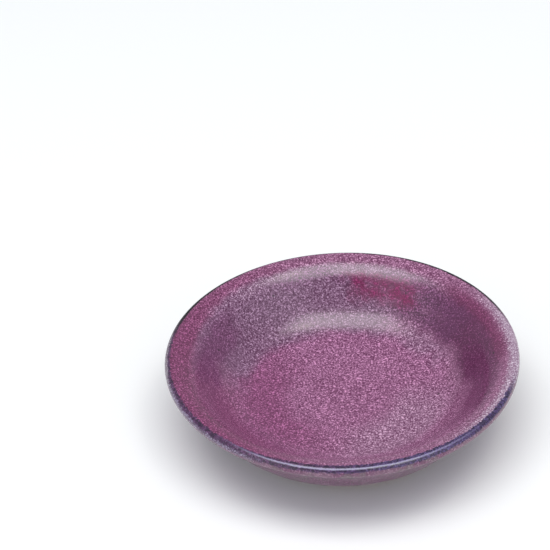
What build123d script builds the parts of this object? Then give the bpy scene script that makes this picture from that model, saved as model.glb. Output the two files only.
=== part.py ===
from build123d import *
import math
import os

# A small round dish of wheel-thrown stoneware: a clay body on a luted foot ring, under four
# coats of glaze. Millimetres, +Z up, origin at the middle of the foot's resting face. Every
# piece is a turned section, so the outlines below lie in the XZ plane, with X as the radius.

# ---- Driving dimensions ----
rim_diameter = 92.0
overall_height = 21.5
glaze_thickness = 0.4

# the well, from its centre out to the crest of the lip; slopes in degrees above level
floor_radius = 22.3
floor_slope = 3.4
corner_radius = 15.5
wall_slope = 51.4
flare_radius = 12.0
shoulder_slope = 25.0
shoulder_radius = 7.5

# the lip, and the outside from under the lip to the foot; slopes in degrees above level
lip_radius = 1.6
lip_under_slope = 34.0
neck_radius = 20.0
outer_wall_slope = 54.0
belly_radius = 14.0

# where the indigo rim glaze starts and stops, as turns of the surface either side of the crest
rim_band_inside = 5.0
rim_band_outside = 96.0

# the foot ring
foot_height = 3.0
foot_outer_radius = 25.5
foot_inner_radius = 21.5
foot_taper = 10.0
foot_edge_radius = 0.7


# ---- Outlines made of tangent arcs and straights ----
# A step is (radius, turn) for an arc, turning left when positive, or (length, 0) for a straight.
# A straight of no length is left out.


def trace(point, heading, steps):
    """Draw steps one after another; give back their edges, the last point and its heading."""
    edges = []
    for size, turn in steps:
        if not size:
            continue
        ahead = Vector(1, 0).rotate(Axis.Z, heading)
        if turn:
            edge = JernArc(point, ahead, size, turn)
        else:
            edge = Line(point, point + ahead * size)
        edges.append(edge)
        point = edge @ 1
        heading += turn
    return edges, point, heading


def beneath(steps, depth):
    """The same steps along a surface that lies a given depth to the right of the first."""
    return [(size + math.copysign(depth, turn) if turn else size, turn) for size, turn in steps]


def right_of(point, heading, distance):
    """The point that lies a distance square to the right of a heading."""
    return point + Vector(0, -distance).rotate(Axis.Z, heading)


def turned(outline):
    """Spin a closed outline of edges, drawn with X as the radius and Y as the height."""
    section = Plane.XZ * make_face(outline)
    return revolve(section, Axis.Z, 360)


# ---- The surface of the glazed dish ----


def well_steps(wall_run):
    """Floor, corner, wall, flare and shoulder, up to where the rim glaze starts."""
    return [
        (floor_radius / math.sin(math.radians(floor_slope)), floor_slope),
        (corner_radius, wall_slope - floor_slope),
        (wall_run, 0),
        (flare_radius, shoulder_slope - wall_slope),
        (shoulder_radius, rim_band_inside - shoulder_slope),
    ]


def outside_steps(wall_run):
    """Underside of the lip, neck, wall and belly, from where the rim glaze stops."""
    return [
        (lip_radius, rim_band_outside - (180 - lip_under_slope)),
        (neck_radius, outer_wall_slope - lip_under_slope),
        (wall_run, 0),
        (belly_radius, -outer_wall_slope),
    ]


rim_steps = [(shoulder_radius, -rim_band_inside), (lip_radius, -rim_band_outside)]
axis_origin = Vector(0, 0)

# each wall's straight run takes up what the arcs leave of the rim's radius or the dish's height
crest_radius = rim_diameter / 2 - lip_radius
_, crest, _ = trace(axis_origin, 0, well_steps(0) + rim_steps[:1])
well_run = (crest_radius - crest.X) / math.cos(math.radians(wall_slope))
_, crest, _ = trace(axis_origin, 0, well_steps(well_run) + rim_steps[:1])
well_depth = crest.Y

_, rim_end, rim_heading = trace(Vector(crest_radius, overall_height), 0, rim_steps[1:])
_, belly_end, _ = trace(rim_end, rim_heading, outside_steps(0))
outer_run = (belly_end.Y - foot_height) / math.sin(math.radians(outer_wall_slope))

well_start = Vector(0, overall_height - well_depth)
_, rim_start, rim_start_heading = trace(well_start, 0, well_steps(well_run))
_, belly_end, belly_heading = trace(rim_end, rim_heading, outside_steps(outer_run))
underside_run = belly_end.X - foot_outer_radius


def coat(start, heading, steps):
    """A glaze coat: the band between a stretch of the surface and the clay beneath it."""
    surface, end, end_heading = trace(start, heading, steps)
    clay_start = right_of(start, heading, glaze_thickness)
    clay, clay_end, _ = trace(clay_start, heading, beneath(steps, glaze_thickness))
    return turned(surface + clay + [Line(start, clay_start), Line(end, clay_end)])


# ---- Pieces ----


def make_clay_body():
    steps = well_steps(well_run) + rim_steps + outside_steps(outer_run)
    start = right_of(well_start, 0, glaze_thickness)
    edges, end, _ = trace(start, 0, beneath(steps, glaze_thickness))
    base = Vector(0, end.Y)
    return turned(edges + [Line(end, base), Line(base, start)])


def make_foot_ring():
    """A luted ring: straight down from the body, tapering to a rounded resting face."""
    top = foot_height + glaze_thickness
    draw_in = foot_height * math.tan(math.radians(foot_taper))
    corners = [
        (foot_inner_radius, top),
        (foot_inner_radius, foot_height),
        (foot_inner_radius + draw_in, 0),
        (foot_outer_radius - draw_in, 0),
        (foot_outer_radius, foot_height),
        (foot_outer_radius, top),
    ]
    section = make_face(Polyline(corners, close=True))
    resting_corners = section.vertices().sort_by(Axis.Y)[:2]
    section = fillet(resting_corners, foot_edge_radius)
    return revolve(Plane.XZ * section, Axis.Z, 360)


def make_base_glaze():
    """The disc of glaze inside the foot ring, against the underside of the body."""
    middle = Pos(0, 0, foot_height + glaze_thickness / 2)
    return middle * Cylinder(foot_inner_radius, glaze_thickness)


nodes = {
    "clay_body": make_clay_body(),
    "foot_ring": make_foot_ring(),
    "inner_glaze": coat(well_start, 0, well_steps(well_run)),
    "rim_glaze": coat(rim_start, rim_start_heading, rim_steps),
    "outer_glaze": coat(rim_end, rim_heading, outside_steps(outer_run) + [(underside_run, 0)]),
    "base_glaze": make_base_glaze(),
}

os.makedirs("parts", exist_ok=True)
for name, solid in nodes.items():
    solid.label = name
    export_step(solid, f"parts/{name}.step")

print(f"well depth {well_depth:.2f}, wall runs {well_run:.2f} and {outer_run:.2f}")
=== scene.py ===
"""A small glazed stoneware dish: a thrown body, a luted foot ring and four coats of glaze."""
import bmesh
import bpy
import math
from mathutils import Matrix, Vector


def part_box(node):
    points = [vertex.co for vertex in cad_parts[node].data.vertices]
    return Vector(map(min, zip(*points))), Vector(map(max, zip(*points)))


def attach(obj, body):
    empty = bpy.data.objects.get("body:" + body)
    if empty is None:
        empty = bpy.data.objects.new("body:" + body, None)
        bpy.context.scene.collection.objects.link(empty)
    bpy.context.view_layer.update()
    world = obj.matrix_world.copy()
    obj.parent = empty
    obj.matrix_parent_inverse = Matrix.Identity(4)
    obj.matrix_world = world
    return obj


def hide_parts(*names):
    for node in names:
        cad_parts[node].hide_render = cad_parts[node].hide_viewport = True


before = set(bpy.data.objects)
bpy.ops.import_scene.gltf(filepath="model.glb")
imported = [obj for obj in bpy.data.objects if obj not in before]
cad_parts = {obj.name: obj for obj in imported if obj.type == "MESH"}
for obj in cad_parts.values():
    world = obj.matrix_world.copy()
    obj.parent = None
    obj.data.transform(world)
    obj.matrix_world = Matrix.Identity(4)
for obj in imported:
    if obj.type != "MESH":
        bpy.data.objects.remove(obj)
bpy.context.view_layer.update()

MM = 0.001

# ---- Sizes, in millimetres and degrees ----

# read from the frame
rim_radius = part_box("rim_glaze")[1].x / MM
overall_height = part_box("rim_glaze")[1].z / MM
foot_outer_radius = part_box("foot_ring")[1].x / MM
foot_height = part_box("base_glaze")[0].z / MM
foot_inner_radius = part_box("base_glaze")[1].x / MM
glaze_thickness = (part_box("base_glaze")[1].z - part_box("base_glaze")[0].z) / MM

# shared with the design: the run of the surface from the middle of the well, over the lip, to the foot
floor_radius = 22.3
floor_slope = 3.4
corner_radius = 15.5
wall_slope = 51.4
flare_radius = 12.0
shoulder_slope = 25.0
shoulder_radius = 7.5
lip_radius = 1.6
lip_under_slope = 34.0
neck_radius = 20.0
outer_wall_slope = 54.0
belly_radius = 14.0
rim_band_inside = 5.0
rim_band_outside = 96.0
foot_taper = 10.0
foot_edge_radius = 0.7

# how far the fired rim is out of true
rim_bulge = 0.55
bulge_bearing = 45.0
rim_waver = 0.08
waver_phase = 1.1

# where the glaze was wiped away, so that the dish doesn't stick to the kiln shelf: degrees of the
# belly's turn above the foot, and millimetres inside the foot; and how far each edge wanders
bare_above_foot = 10.0
bare_inside_foot = 1.3
outside_edge_swing = 0.6
base_edge_swing = 0.45

# how finely a section is drawn, and how many times it is copied round the wheel
section_step = 0.7
arc_step = 4.0
wheel_steps = 256
merge_distance = 0.002


# ---- Sections: outlines drawn as arcs and straights, then turned on the wheel ----
# A step is (radius, turn) for an arc, turning left when positive, or (length, 0) for a straight.


class Section:
    """A closed outline in the XZ plane, with X as the radius, drawn from a moving tip."""

    def __init__(self, radius, height, heading=0.0):
        self.mesh = bmesh.new()
        self.start = self.mesh.verts.new((radius * MM, 0, height * MM))
        self.tip = self.start
        self.heading = heading

    def ahead(self, turn=0.0):
        angle = math.radians(self.heading + turn)
        return Vector((math.cos(angle), 0, math.sin(angle)))

    def straight(self, length):
        pieces = max(1, round(length / section_step))
        for _ in range(pieces):
            point = self.mesh.verts.new(self.tip.co + self.ahead() * length * MM / pieces)
            self.mesh.edges.new((self.tip, point))
            self.tip = point

    def arc(self, radius, turn):
        centre = self.tip.co + self.ahead(math.copysign(90, turn)) * radius * MM
        length = radius * math.radians(abs(turn))
        pieces = max(2, round(length / section_step), round(abs(turn) / arc_step))
        drawn = bmesh.ops.spin(
            self.mesh,
            geom=[self.tip],
            cent=centre,
            axis=(0, -1, 0),
            angle=math.radians(turn),
            steps=pieces,
        )
        self.tip = drawn["geom_last"][0]
        self.heading += turn

    def follow(self, steps):
        for size, turn in steps:
            if turn:
                self.arc(size, turn)
            elif size:
                self.straight(size)

    def corner(self, turn):
        self.heading += turn

    def bead(self, thickness):
        """Turn back in a half circle, as a coat's edge does where it ran and stopped."""
        self.arc(thickness / 2, -90)
        self.arc(thickness / 2, -90)

    def place(self):
        """Where the tip is, in millimetres, and its heading."""
        return self.tip.co.x / MM, self.tip.co.z / MM, self.heading

    def close(self):
        self.mesh.edges.new((self.tip, self.start))

    def revolve(self):
        """Turn the outline into a closed skin round Z: an eighth on the wheel, doubled three times."""
        bmesh.ops.spin(
            self.mesh,
            geom=self.mesh.verts[:] + self.mesh.edges[:],
            cent=(0, 0, 0),
            axis=(0, 0, 1),
            angle=math.tau / 8,
            steps=wheel_steps // 8,
        )
        for share in (8, 4, 2):
            everything = self.mesh.verts[:] + self.mesh.edges[:] + self.mesh.faces[:]
            copy = bmesh.ops.duplicate(self.mesh, geom=everything)["geom"]
            copied = [item for item in copy if isinstance(item, bmesh.types.BMVert)]
            turn = Matrix.Rotation(math.tau / share, 3, "Z")
            bmesh.ops.rotate(self.mesh, verts=copied, cent=(0, 0, 0), matrix=turn)
        bmesh.ops.remove_doubles(self.mesh, verts=self.mesh.verts, dist=merge_distance * MM)
        flat = [edge for edge in self.mesh.edges if not edge.link_faces]
        bmesh.ops.delete(self.mesh, geom=flat, context="EDGES")
        bmesh.ops.recalc_face_normals(self.mesh, faces=self.mesh.faces)
        return self.mesh


def traced(radius, height, heading, steps):
    """Where a run of steps ends: its radius, height and heading."""
    path = Section(radius, height, heading)
    path.follow(steps)
    end = path.place()
    path.mesh.free()
    return end


def beneath(steps, depth):
    """The same steps along a surface that lies a given depth to the right of the first."""
    return [(size + math.copysign(depth, turn) if turn else size, turn) for size, turn in steps]


def returning(steps):
    """The same steps walked backwards."""
    return [(size, -turn) for size, turn in reversed(steps)]


# ---- The surface of the glazed dish ----


def well_steps(wall_run):
    return [
        (floor_radius / math.sin(math.radians(floor_slope)), floor_slope),
        (corner_radius, wall_slope - floor_slope),
        (wall_run, 0),
        (flare_radius, shoulder_slope - wall_slope),
        (shoulder_radius, rim_band_inside - shoulder_slope),
    ]


def outside_steps(wall_run):
    return [
        (lip_radius, rim_band_outside - (180 - lip_under_slope)),
        (neck_radius, outer_wall_slope - lip_under_slope),
        (wall_run, 0),
        (belly_radius, -outer_wall_slope),
    ]


rim_steps = [(shoulder_radius, -rim_band_inside), (lip_radius, -rim_band_outside)]
crest_radius = rim_radius - lip_radius

reach, _, _ = traced(0, 0, 0, well_steps(0) + rim_steps[:1])
well_run = (crest_radius - reach) / math.cos(math.radians(wall_slope))
_, well_depth, _ = traced(0, 0, 0, well_steps(well_run) + rim_steps[:1])
floor_height = overall_height - well_depth

rim_start = traced(0, floor_height, 0, well_steps(well_run))
rim_end = traced(crest_radius, overall_height, 0, rim_steps[1:])
_, drop, _ = traced(*rim_end, outside_steps(0))
outer_run = (drop - foot_height) / math.sin(math.radians(outer_wall_slope))
belly_start = traced(*rim_end, outside_steps(outer_run)[:-1])
to_centre = math.radians(belly_start[2] - 90)
inward = Vector((math.cos(to_centre), math.sin(to_centre)))
belly_centre = Vector(belly_start[:2]) + inward * belly_radius


def coat_section(start, steps, beaded=False):
    """The band between a stretch of the glazed surface and the clay beneath it."""
    section = Section(*start)
    section.follow(steps)
    if beaded:
        section.bead(glaze_thickness)
    else:
        section.corner(-90)
        section.straight(glaze_thickness)
        section.corner(-90)
    section.follow(returning(beneath(steps, glaze_thickness)))
    section.close()
    return section


def wandering(turn, seed):
    """A slow irregular wave round the dish, from about -1 to 1."""
    return sum(math.sin(count * turn + seed * count) / (1.5 + count / 3) for count in (2, 3, 5, 9, 14))


def let_lower_edge_wander(mesh, swing):
    """Draw the lower edge of the outside coat in and out along the belly's arc."""
    # in degrees below the belly's level, where the wandering starts and where it is whole
    steady = 50
    free = 80
    for vert in mesh.verts:
        turn = math.atan2(vert.co.y, vert.co.x)
        out = Vector((math.hypot(vert.co.x, vert.co.y) / MM, vert.co.z / MM)) - belly_centre
        below_level = -math.degrees(math.atan2(out.y, out.x))
        share = min(1.0, max(0.0, (below_level - steady) / (free - steady)))
        along = swing * share * wandering(turn, seed=1.7) / belly_radius
        out.rotate(Matrix.Rotation(along, 2))
        place = (belly_centre + out) * MM
        vert.co = Vector((place.x * math.cos(turn), place.x * math.sin(turn), place.y))


def let_disc_edge_wander(mesh, edge, swing):
    """Draw the edge of a flat coat in and out, less and less toward its middle."""
    for vert in mesh.verts:
        share = (math.hypot(vert.co.x, vert.co.y) / (edge * MM)) ** 4
        turn = math.atan2(vert.co.y, vert.co.x)
        stretch = 1 + swing * share * wandering(turn, seed=0.6) / edge
        vert.co = Vector((vert.co.x * stretch, vert.co.y * stretch, vert.co.z))


# ---- The potter's hand: every piece is pushed out of true in the same way, so they still meet ----


def push_out_of_true(mesh):
    """Bulge the rim a little to one side, and let its height wander, as drying and firing do."""
    for vert in mesh.verts:
        radius = math.hypot(vert.co.x, vert.co.y)
        if radius < 1e-9:
            continue
        turn = math.atan2(vert.co.y, vert.co.x)
        share = (radius / (rim_radius * MM)) ** 2
        lean = turn - math.radians(bulge_bearing)
        bulge = rim_bulge * MM * share * (math.cos(lean) + math.cos(3 * lean)) / 2
        lift = rim_waver * MM * share * math.cos(2 * turn + waver_phase) * vert.co.z / (overall_height * MM)
        stretch = 1 + bulge / radius
        vert.co = Vector((vert.co.x * stretch, vert.co.y * stretch, vert.co.z + lift))


# ---- From mesh to piece ----


def make_piece(name, mesh, node, finish):
    """Put a finished mesh in the scene as a smooth-shaded piece that stands for a CAD node."""
    push_out_of_true(mesh)
    data = bpy.data.meshes.new(name)
    mesh.to_mesh(data)
    mesh.free()
    data.shade_smooth()
    data.set_sharp_from_angle(angle=math.radians(45))
    data.materials.append(finish)
    piece = bpy.data.objects.new(name, data)
    bpy.context.scene.collection.objects.link(piece)
    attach(piece, "root")
    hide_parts(node)


def make_clay_body(finish):
    steps = well_steps(well_run) + rim_steps + outside_steps(outer_run)
    section = Section(0, floor_height - glaze_thickness)
    section.follow(beneath(steps, glaze_thickness))
    section.straight(section.place()[0])
    section.close()
    make_piece("thrown_body", section.revolve(), "clay_body", finish)


def make_foot(finish):
    taper = math.radians(foot_taper)
    turn = 90 - foot_taper
    cut_back = foot_edge_radius * math.tan(math.radians(turn) / 2)
    side = foot_height / math.cos(taper) - cut_back
    draw_in = foot_height * math.tan(taper)
    resting = foot_outer_radius - foot_inner_radius - 2 * draw_in - 2 * cut_back
    section = Section(foot_inner_radius, foot_height + glaze_thickness, -90)
    section.straight(glaze_thickness)
    section.corner(foot_taper)
    section.straight(side)
    section.arc(foot_edge_radius, turn)
    section.straight(resting)
    section.arc(foot_edge_radius, turn)
    section.straight(side)
    section.corner(foot_taper)
    section.straight(glaze_thickness)
    section.close()
    make_piece("foot", section.revolve(), "foot_ring", finish)


def make_inner_coat(finish):
    section = coat_section((0, floor_height, 0), well_steps(well_run))
    make_piece("well_coat", section.revolve(), "inner_glaze", finish)


def make_rim_coat(finish):
    section = coat_section(rim_start, rim_steps)
    make_piece("lip_coat", section.revolve(), "rim_glaze", finish)


def make_outer_coat(finish):
    steps = outside_steps(outer_run)[:-1] + [(belly_radius, bare_above_foot - outer_wall_slope)]
    mesh = coat_section(rim_end, steps, beaded=True).revolve()
    let_lower_edge_wander(mesh, outside_edge_swing)
    make_piece("outside_coat", mesh, "outer_glaze", finish)


def make_base_coat(finish):
    edge = foot_inner_radius - bare_inside_foot
    section = Section(edge, foot_height, 180)
    section.straight(edge)
    section.corner(-90)
    section.straight(glaze_thickness)
    section.corner(-90)
    section.straight(edge)
    section.bead(glaze_thickness)
    section.close()
    mesh = section.revolve()
    let_disc_edge_wander(mesh, edge, base_edge_swing)
    make_piece("base_coat", mesh, "base_glaze", finish)


# ---- Finishes ----


class Wire:
    """A socket of a material. Arithmetic on it adds Math nodes."""

    def __init__(self, finish, socket):
        self.finish = finish
        self.socket = socket

    def math(self, operation, *others):
        return self.finish.node("ShaderNodeMath", {"operation": operation}, [self, *others])

    def __add__(self, other):
        return self.math("ADD", other)

    def __sub__(self, other):
        return self.math("SUBTRACT", other)

    def __mul__(self, other):
        return self.math("MULTIPLY", other)

    def __truediv__(self, other):
        return self.math("DIVIDE", other)

    def __pow__(self, other):
        return self.math("POWER", other)

    def __rsub__(self, other):
        return self.finish.node("ShaderNodeMath", {"operation": "SUBTRACT"}, [other, self])

    def __rtruediv__(self, other):
        return self.finish.node("ShaderNodeMath", {"operation": "DIVIDE"}, [other, self])

    __radd__ = __add__
    __rmul__ = __mul__

    def __abs__(self):
        return self.math("ABSOLUTE")

    def ramp(self, low, high):
        """0 below low, 1 above high, and smooth between; low may be the larger."""
        ends = [self, low, high, 0.0, 1.0]
        if low > high:
            ends = [self, high, low, 1.0, 0.0]
        return self.finish.node("ShaderNodeMapRange", {"interpolation_type": "SMOOTHSTEP"}, ends)


class Tree:
    """A node tree built up from code."""

    def __init__(self, tree, place):
        self.tree = tree
        self.tree.nodes.clear()
        self.place = self.node("ShaderNodeTexCoord", {}, {}, place)

    def node(self, kind, settings=None, inputs=(), output=0):
        """Add a node, set it up, then give its sockets values or wires; give back an output."""
        made = self.tree.nodes.new(kind)
        for key, value in (settings or {}).items():
            setattr(made, key, value)
        pairs = inputs.items() if isinstance(inputs, dict) else enumerate(inputs)
        for key, value in pairs:
            if isinstance(value, Wire):
                self.tree.links.new(value.socket, made.inputs[key])
            else:
                made.inputs[key].default_value = value
        return Wire(self, made.outputs[output]) if made.outputs else None

    def blend(self, first, second, factor, how="MIX"):
        """Mix two colours."""
        settings = {"data_type": "RGBA", "blend_type": how}
        return self.node("ShaderNodeMix", settings, {0: factor, 6: first, 7: second}, 2)


class Finish(Tree):
    """A material in the dish's own coordinates."""

    def __init__(self, name):
        self.material = bpy.data.materials.new(name)
        self.material.use_nodes = True
        super().__init__(self.material.node_tree, "Object")
        # where the point being shaded is, in millimetres, and how far from the dish's axis
        self.x, self.y, self.z = (
            self.node("ShaderNodeSeparateXYZ", {}, [self.place], axis) / MM for axis in "XYZ"
        )
        self.radius = (self.x * self.x + self.y * self.y) ** 0.5

    def noise(self, size, detail=2.0, roughness=0.5, at=None, distortion=0.0):
        """Soft noise from 0 to 1 whose blotches are about size millimetres across."""
        inputs = {
            "Vector": at or self.place,
            "Scale": 1 / (size * MM),
            "Detail": detail,
            "Roughness": roughness,
            "Distortion": distortion,
        }
        return self.node("ShaderNodeTexNoise", {}, inputs)

    def toward(self, bearing):
        """The cosine of how far round the dish the point is from a bearing, in degrees."""
        angle = math.radians(bearing)
        return (self.x * math.cos(angle) + self.y * math.sin(angle)) / self.radius

    def sector(self, bearing, half_width, softness, wander=0.0):
        """1 within a sector of the dish about a bearing, in degrees, fading to 0 past its sides."""
        far = math.cos(math.radians(min(180, half_width + softness)))
        near = math.cos(math.radians(max(0, half_width - softness)))
        return (self.toward(bearing) + wander).ramp(far, near)

    def shade(self, **sockets):
        """End in one Principled shader, with underscores for the spaces in socket names."""
        inputs = {name.replace("_", " "): value for name, value in sockets.items()}
        shader = self.node("ShaderNodeBsdfPrincipled", {}, inputs)
        self.node("ShaderNodeOutputMaterial", {}, [shader])
        return self.material


def linear(value):
    """A display value from 0 to 255 as a linear one from 0 to 1."""
    if value > 10:
        return ((value / 255 + 0.055) / 1.055) ** 2.4
    return value / 3295


def colour(red, green, blue):
    """A colour given as display values from 0 to 255, as a linear one."""
    return (linear(red), linear(green), linear(blue), 1.0)


def ring(reach, inner, outer, fade):
    """1 between two radii, fading over a distance to each side."""
    return reach.ramp(inner - fade, inner + fade) * reach.ramp(outer + fade, outer - fade)


def speckle(finish):
    """The fine crystals that grow in the glaze as it cools: 1 on a crystal, 0 between them."""
    swirl = finish.noise(0.69, 1.5, 0.5, distortion=0.5)
    threads = (1 - abs(swirl - 0.5) * 12).ramp(0.0, 1.0)
    grains = finish.noise(0.43, 1.0, 0.5).ramp(0.5, 0.76)
    return threads * 0.45 + grains * 0.95


def mottled(finish, tone, crystals, strength):
    """Darken a tone between the crystals and pale it on them, by a strength from 0 to 1."""
    between = (0.46, 0.22, 0.4, 1)
    upon = (2.54, 3.2, 2.7, 1)
    return finish.blend(tone, finish.blend(between, upon, crystals), strength, "MULTIPLY")


def iron_specks(finish):
    """Sparse brown-black dots where iron in the clay bleeds through."""
    spacing = 3.6
    settings = {"feature": "F1"}
    inputs = {"Vector": finish.place, "Scale": 1 / (spacing * MM)}
    distance = finish.node("ShaderNodeTexVoronoi", settings, inputs, "Distance") * spacing
    lot = finish.node("ShaderNodeTexVoronoi", settings, inputs, "Color")
    draw = finish.node("ShaderNodeSeparateColor", {}, [lot], 0)
    size = 0.32 * draw.ramp(0.55, 1.0)
    return (distance - size).ramp(0.12, -0.02) * draw.ramp(0.6, 0.65)


def magenta_field(finish, crystals):
    """The reactive glaze of the well and lip: raspberry, with a grey-lavender veil and crimson breaks, and
    painted highlights, shade and reflection in places.
    """
    radius = finish.radius
    cloud = finish.noise(9.0, 3.0, 0.5) - 0.5
    wisps = finish.noise(2.6, 2.0, 0.55) - 0.5
    drift = cloud * 0.5 + wisps * 0.25
    reach = radius + cloud * 6 + wisps * 3
    edge = radius + wisps * 2

    # the floor, darker to the left, with a pale veil at the front right
    tone = finish.blend(colour(143, 88, 125), colour(136, 86, 119), reach.ramp(27, 31))
    left = finish.sector(192, 48, 30, drift * 0.3) * ring(reach, 15, 28, 4)
    tone = finish.blend(tone, colour(130, 66, 108), left * 0.95)
    low_left = finish.sector(216, 38, 20, drift * 0.3) * reach.ramp(26, 30)
    tone = finish.blend(tone, colour(133, 73, 110), low_left * 0.9)
    floor_veil = finish.sector(-42, 36, 24, drift * 0.4) * ring(reach, 14, 27, 4)
    tone = finish.blend(tone, colour(147, 105, 134), floor_veil * 0.9)

    # the far wall, greyed by the veil, with painted highlights on the rings where the overhead light
    # reflects
    back_veil = finish.sector(116, 52, 14, drift * 0.4) * ring(reach, 26.5, 42, 2)
    tone = finish.blend(tone, colour(121, 84, 113), back_veil * 0.95)
    # painted highlight: a lighter band across the far wall below the shoulder, on the ring of the overhead
    # light's upper reflection
    painted_upper_highlight = finish.sector(100, 44, 14, drift * 0.3) * ring(reach, 38.5, 42.5, 1.5)
    tone = finish.blend(tone, colour(130, 94, 121), painted_upper_highlight * 0.8)
    # painted highlight: a lighter patch at the right end of the ring of the overhead light's lower
    # reflection
    painted_lower_highlight = finish.sector(42, 14, 10, drift * 0.3) * ring(reach, 26, 31.5, 1.5)
    tone = finish.blend(tone, colour(135, 95, 124), painted_lower_highlight * 0.8)

    # plum where the glaze pooled on the steep wall, and below the shoulder a band of painted shade
    front_right = finish.sector(-14, 16, 14, drift * 0.3) * ring(reach, 33, 41, 2)
    tone = finish.blend(tone, colour(104, 50, 87), front_right * 0.95)
    deep = finish.sector(20, 20, 12, drift * 0.3) * ring(reach, 32.5, 41.5, 1.8)
    tone = finish.blend(tone, colour(95, 39, 78), deep * 0.95)
    plum = finish.sector(46, 14, 8, drift * 0.3) * ring(reach, 32.3, 39.5, 1.5)
    tone = finish.blend(tone, colour(100, 50, 88), plum * 0.9)
    left_plum = finish.sector(164, 18, 10, drift * 0.3) * ring(reach, 32.8, 38.5, 1.5)
    tone = finish.blend(tone, colour(111, 58, 98), left_plum * 0.8)
    # painted shade: a darker plum band on the far wall under the shoulder, dimming the overhead light's
    # reflection there
    painted_shade_under_highlight = finish.sector(88, 30, 12, drift * 0.2) * ring(reach, 37.4, 39.6, 1)
    tone = finish.blend(tone, colour(106, 58, 96), painted_shade_under_highlight * 0.75)

    # crimson where it broke on the far wall
    crimson = finish.sector(69, 11, 8, drift * 0.3) * ring(radius + wisps * 3, 34.3, 38.7, 1.5)
    crimson = crimson * (0.62 + 0.38 * finish.noise(2.4, 2.0, 0.5).ramp(0.34, 0.56))
    tone = finish.blend(tone, colour(114, 6, 74), crimson)

    # the lip
    left_side = finish.sector(200, 48, 22, drift * 0.2)
    lip = finish.blend(colour(138, 87, 120), colour(120, 56, 95), left_side)
    tone = finish.blend(tone, lip, (edge + left_side * 1.8).ramp(40, 42.2))
    crimson_edge = finish.sector(152, 28, 18, drift * 0.3) * ring(edge, 41.4, 44.6, 1)
    tone = finish.blend(tone, colour(121, 58, 97), crimson_edge * 0.7)
    crimson_side = finish.sector(20, 20, 10, drift * 0.2) * ring(edge, 39.6, 42.4, 1)
    tone = finish.blend(tone, colour(108, 42, 82), crimson_side * 0.85)

    # the crystals are fewer on the steep sides and at the front
    left_depth = 0.35 * reach.ramp(10, 20) + 0.5 * ring(reach, 30, 39.5, 2)
    smooth_left = finish.sector(195, 42, 18) * left_depth
    smooth_right = finish.sector(4, 40, 14) * ring(reach, 31, 43.6, 1.5)
    smooth_front = finish.sector(-90, 34, 24) * reach.ramp(20, 30)
    strength = 1 - 0.5 * smooth_left - 0.45 * smooth_right - 0.42 * smooth_front - 0.45 * crimson
    tone = mottled(finish, tone, crystals, strength)

    # painted reflection: the lip at the right is paled in short streaks, as if its gloss caught a bright
    # light from that side
    sheen_edge = radius + (finish.noise(0.8, 3.0, 0.65) - 0.5) * 2 + wisps * 0.8 + crystals * 0.8
    pale = finish.sector(-10, 36, 16) * sheen_edge.ramp(42.6, 44.6)
    tone = finish.blend(tone, mottled(finish, colour(163, 137, 158), crystals, 0.6), pale)
    return finish.blend(tone, colour(52, 22, 40), iron_specks(finish) * 0.8)


def mauve_field(finish, crystals):
    """The outside's thinner glaze, greyed by the clay under it."""
    cloud = finish.noise(6.0, 3.0, 0.6)
    ash = finish.noise(3.0, 2.0, 0.5)
    tone = finish.blend(colour(119, 83, 106), colour(109, 60, 94), cloud.ramp(0.4, 0.62))
    tone = finish.blend(tone, colour(108, 90, 98), ash.ramp(0.5, 0.66) * 0.75)
    return mottled(finish, tone, crystals, 0.42)


def indigo_field(finish, crystals):
    """The dark glaze that breaks over the lip: plum-black, and blue-violet at the front right."""
    cloud = finish.noise(0.9, 3.0, 0.6)
    blue = finish.toward(-38).ramp(0.3, 0.95)
    tone = finish.blend(colour(84, 50, 86), colour(74, 57, 100), blue)
    tone = finish.blend(tone, colour(28, 13, 38), cloud.ramp(0.47, 0.55) * 0.7)
    return mottled(finish, tone, crystals, 0.5)


def glaze_shade(finish, tone, crystals, dryness=0.0):
    """The gloss shared by all the coats, over a fine orange peel."""
    peel = finish.noise(1.8, 2.0, 0.5)
    relief = crystals * 0.012 + peel * 0.02
    bump = {"Strength": 1.0, "Distance": MM, "Height": relief}
    normal = finish.node("ShaderNodeBump", {}, bump)
    rough = 0.19 + crystals * 0.12 + dryness
    return finish.shade(Base_Color=tone, Roughness=rough, Normal=normal, IOR=1.6)


def make_well_glaze():
    finish = Finish("magenta_glaze")
    crystals = speckle(finish)
    return glaze_shade(finish, magenta_field(finish, crystals), crystals)


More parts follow.
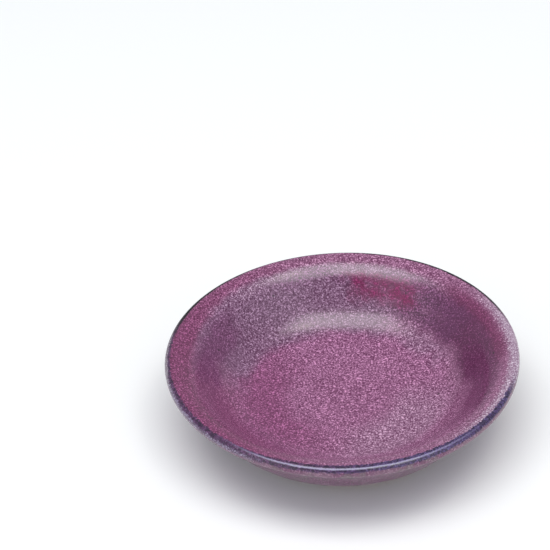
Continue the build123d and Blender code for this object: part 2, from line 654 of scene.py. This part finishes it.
def make_lip_glaze():
    finish = Finish("indigo_glaze")
    crystals = speckle(finish)
    jagged = finish.noise(0.8, 3.0, 0.65) - 0.5
    slow = finish.noise(4.0, 1.0, 0.5) - 0.5
    torn = finish.radius + jagged * 0.8 + slow * 0.5

    # the dark glaze has crept furthest over the crest at the front
    across = finish.toward(0)
    creep = 0.5 * finish.toward(-113) - 0.38 * across * across
    indigo = (torn + creep + jagged * 0.7).ramp(44.25, 44.5)
    # at the right the indigo is held back, so the painted reflection on the lip stays pale
    sheen_kept_clear = finish.sector(8, 24, 8)

    # under the lip the outside's mauve takes over, sooner at the front right
    below = finish.z + jagged * 1.1 + slow * 0.6 - finish.toward(-45).ramp(0.2, 0.9) * 0.4
    mauve = below.ramp(overall_height - 1.1, overall_height - 1.5) * finish.radius.ramp(45, 45.2)

    # the outermost edge: a painted reflection of the floor, grey at the left, and a painted dark line along
    # the back
    painted_edge_reflection = finish.sector(200, 40, 8) * (torn + jagged * 0.5).ramp(45.1, 45.3)
    far_left = finish.toward(172).ramp(0.9, 0.98)
    grey = finish.blend(colour(112, 94, 120), colour(132, 120, 132), far_left)
    # painted shade: a near-black line along the back of the outer edge, standing in for the dark reflection
    # there
    painted_dark_line = finish.sector(92, 72, 8) * (torn + finish.toward(150) * 0.35).ramp(44.9, 45.1)
    painted_dark_line = painted_dark_line * below.ramp(overall_height - 1.2, overall_height - 0.7)

    # painted highlight: a pale lavender line along the crest at the front, where the overhead light's
    # reflection runs
    crest = finish.radius + finish.toward(180).ramp(0, 1) * 1.3 + jagged * 0.4
    painted_crest_highlight = finish.sector(-86, 30, 22) * ring(crest, 45.0, 45.36, 0.1)

    tone = magenta_field(finish, crystals)
    tone = finish.blend(tone, indigo_field(finish, crystals), indigo * (1 - sheen_kept_clear))
    tone = finish.blend(tone, mauve_field(finish, crystals), mauve)
    tone = finish.blend(tone, mottled(finish, grey, crystals, 0.8), painted_edge_reflection * 0.9)
    tone = finish.blend(tone, colour(16, 12, 18), painted_dark_line * 0.95)
    tone = finish.blend(tone, colour(146, 138, 178), painted_crest_highlight * 0.6)

    # the back of the lip fired drier than the rest
    dryness = finish.toward(96).ramp(-0.2, 0.5) * finish.radius.ramp(44.3, 44.8) * 0.75
    return glaze_shade(finish, tone, crystals, dryness)


def make_outside_glaze():
    finish = Finish("mauve_glaze")
    crystals = speckle(finish)
    return glaze_shade(finish, mauve_field(finish, crystals), crystals)


def make_clay(name):
    """Bare fired clay: buff, gritty, and scored with fine rings where a tool trimmed it."""
    finish = Finish(name)
    grain = finish.noise(0.35, 3.0, 0.6)
    cloud = finish.noise(9.0, 2.0, 0.5)
    flat = finish.node("ShaderNodeCombineXYZ", {}, [finish.radius * MM, finish.z * MM, 0.0])
    grooves = finish.noise(0.5, 2.0, 0.7, at=flat)
    tone = finish.blend(colour(158, 134, 114), colour(198, 178, 156), grain.ramp(0.3, 0.7))
    tone = finish.blend(tone, colour(176, 132, 104), cloud.ramp(0.45, 0.7) * 0.6)
    tone = finish.blend(tone, colour(120, 98, 84), grooves.ramp(0.5, 0.3) * 0.35)
    tone = finish.blend(tone, colour(70, 48, 38), iron_specks(finish) * 0.7)
    relief = grooves * 0.08 + grain * 0.03
    normal = finish.node("ShaderNodeBump", {}, {"Strength": 1.0, "Distance": MM, "Height": relief})
    return finish.shade(Base_Color=tone, Roughness=0.85, Normal=normal)


# ---- Stage ----


def make_stage():
    """A plain pale floor."""
    paper = Finish("floor").shade(Base_Color=(0.92, 0.92, 0.92, 1), Roughness=0.9)
    mesh = bmesh.new()
    bmesh.ops.create_grid(mesh, x_segments=1, y_segments=1, size=3.0)
    data = bpy.data.meshes.new("floor")
    mesh.to_mesh(data)
    mesh.free()
    data.materials.append(paper)
    floor = bpy.data.objects.new("floor", data)
    bpy.context.scene.collection.objects.link(floor)


def make_camera():
    data = bpy.data.cameras.new("camera")
    data.lens = 151.5
    data.sensor_width = 36
    data.clip_start = 0.01
    camera = bpy.data.objects.new("camera", data)
    bpy.context.scene.collection.objects.link(camera)
    rim_centre = Vector((0, 0, overall_height * MM))
    camera.location = rim_centre + Vector((0.6173, -471.754, 370.74)) * MM
    # it looks past the dish, a little up and to the left, and is held slightly askew
    look_at = rim_centre + Vector((-17.577, 35.288, 0)) * MM
    aim = (look_at - camera.location).to_track_quat("-Z", "Y")
    roll = Matrix.Rotation(math.radians(-2.639), 3, "Z").to_quaternion()
    camera.rotation_mode = "QUATERNION"
    camera.rotation_quaternion = aim @ roll
    bpy.context.scene.camera = camera


def make_area_light(name, place, look_at, size, power, tone):
    data = bpy.data.lights.new(name, "AREA")
    data.shape = "RECTANGLE"
    data.size, data.size_y = size
    data.energy = power
    data.color = tone
    light = bpy.data.objects.new(name, data)
    light.location = place
    light.rotation_mode = "QUATERNION"
    light.rotation_quaternion = (Vector(look_at) - Vector(place)).to_track_quat("-Z", "Y")
    bpy.context.scene.collection.objects.link(light)


def make_room_light():
    """A room that is bright in front of the dish, except where the camera stands, and dim behind."""
    world = bpy.data.worlds.new("room")
    world.use_nodes = True
    room = Tree(world.node_tree, "Generated")
    ahead = room.node("ShaderNodeSeparateXYZ", {}, [room.place], "Y")
    height = room.node("ShaderNodeSeparateXYZ", {}, [room.place], "Z")
    front = ahead.ramp(0.1, -0.5)
    near_camera = (height * 0.62 - ahead * 0.79).ramp(0.86, 0.98)
    strength = 0.46 + 0.58 * front - 0.55 * near_camera
    backdrop = room.node("ShaderNodeBackground", {}, [(0.89, 0.945, 1, 1), strength])
    room.node("ShaderNodeOutputWorld", {}, [backdrop])
    bpy.context.scene.world = world


def make_lights():
    make_room_light()
    dish = (0, 0, 0.01)
    soft_white = (0.985, 0.98, 0.965)
    make_area_light("overhead_box", (-0.02, -0.165, 0.9), dish, (1.0, 0.52), 6.15, soft_white)
    warm_white = (1, 0.9, 0.7)
    make_area_light("warm_lamp", (0.28, -0.075, 0.9), dish, (0.12, 0.05), 0.16, warm_white)


# ---- The dish, fired and set out ----

make_camera()
clay = make_clay("stoneware")
outside_glaze = make_outside_glaze()
make_clay_body(clay)
make_foot(clay)
make_inner_coat(make_well_glaze())
make_rim_coat(make_lip_glaze())
make_outer_coat(outside_glaze)
make_base_coat(outside_glaze)
make_stage()
make_lights()
bpy.context.scene.view_settings.view_transform = "Standard"
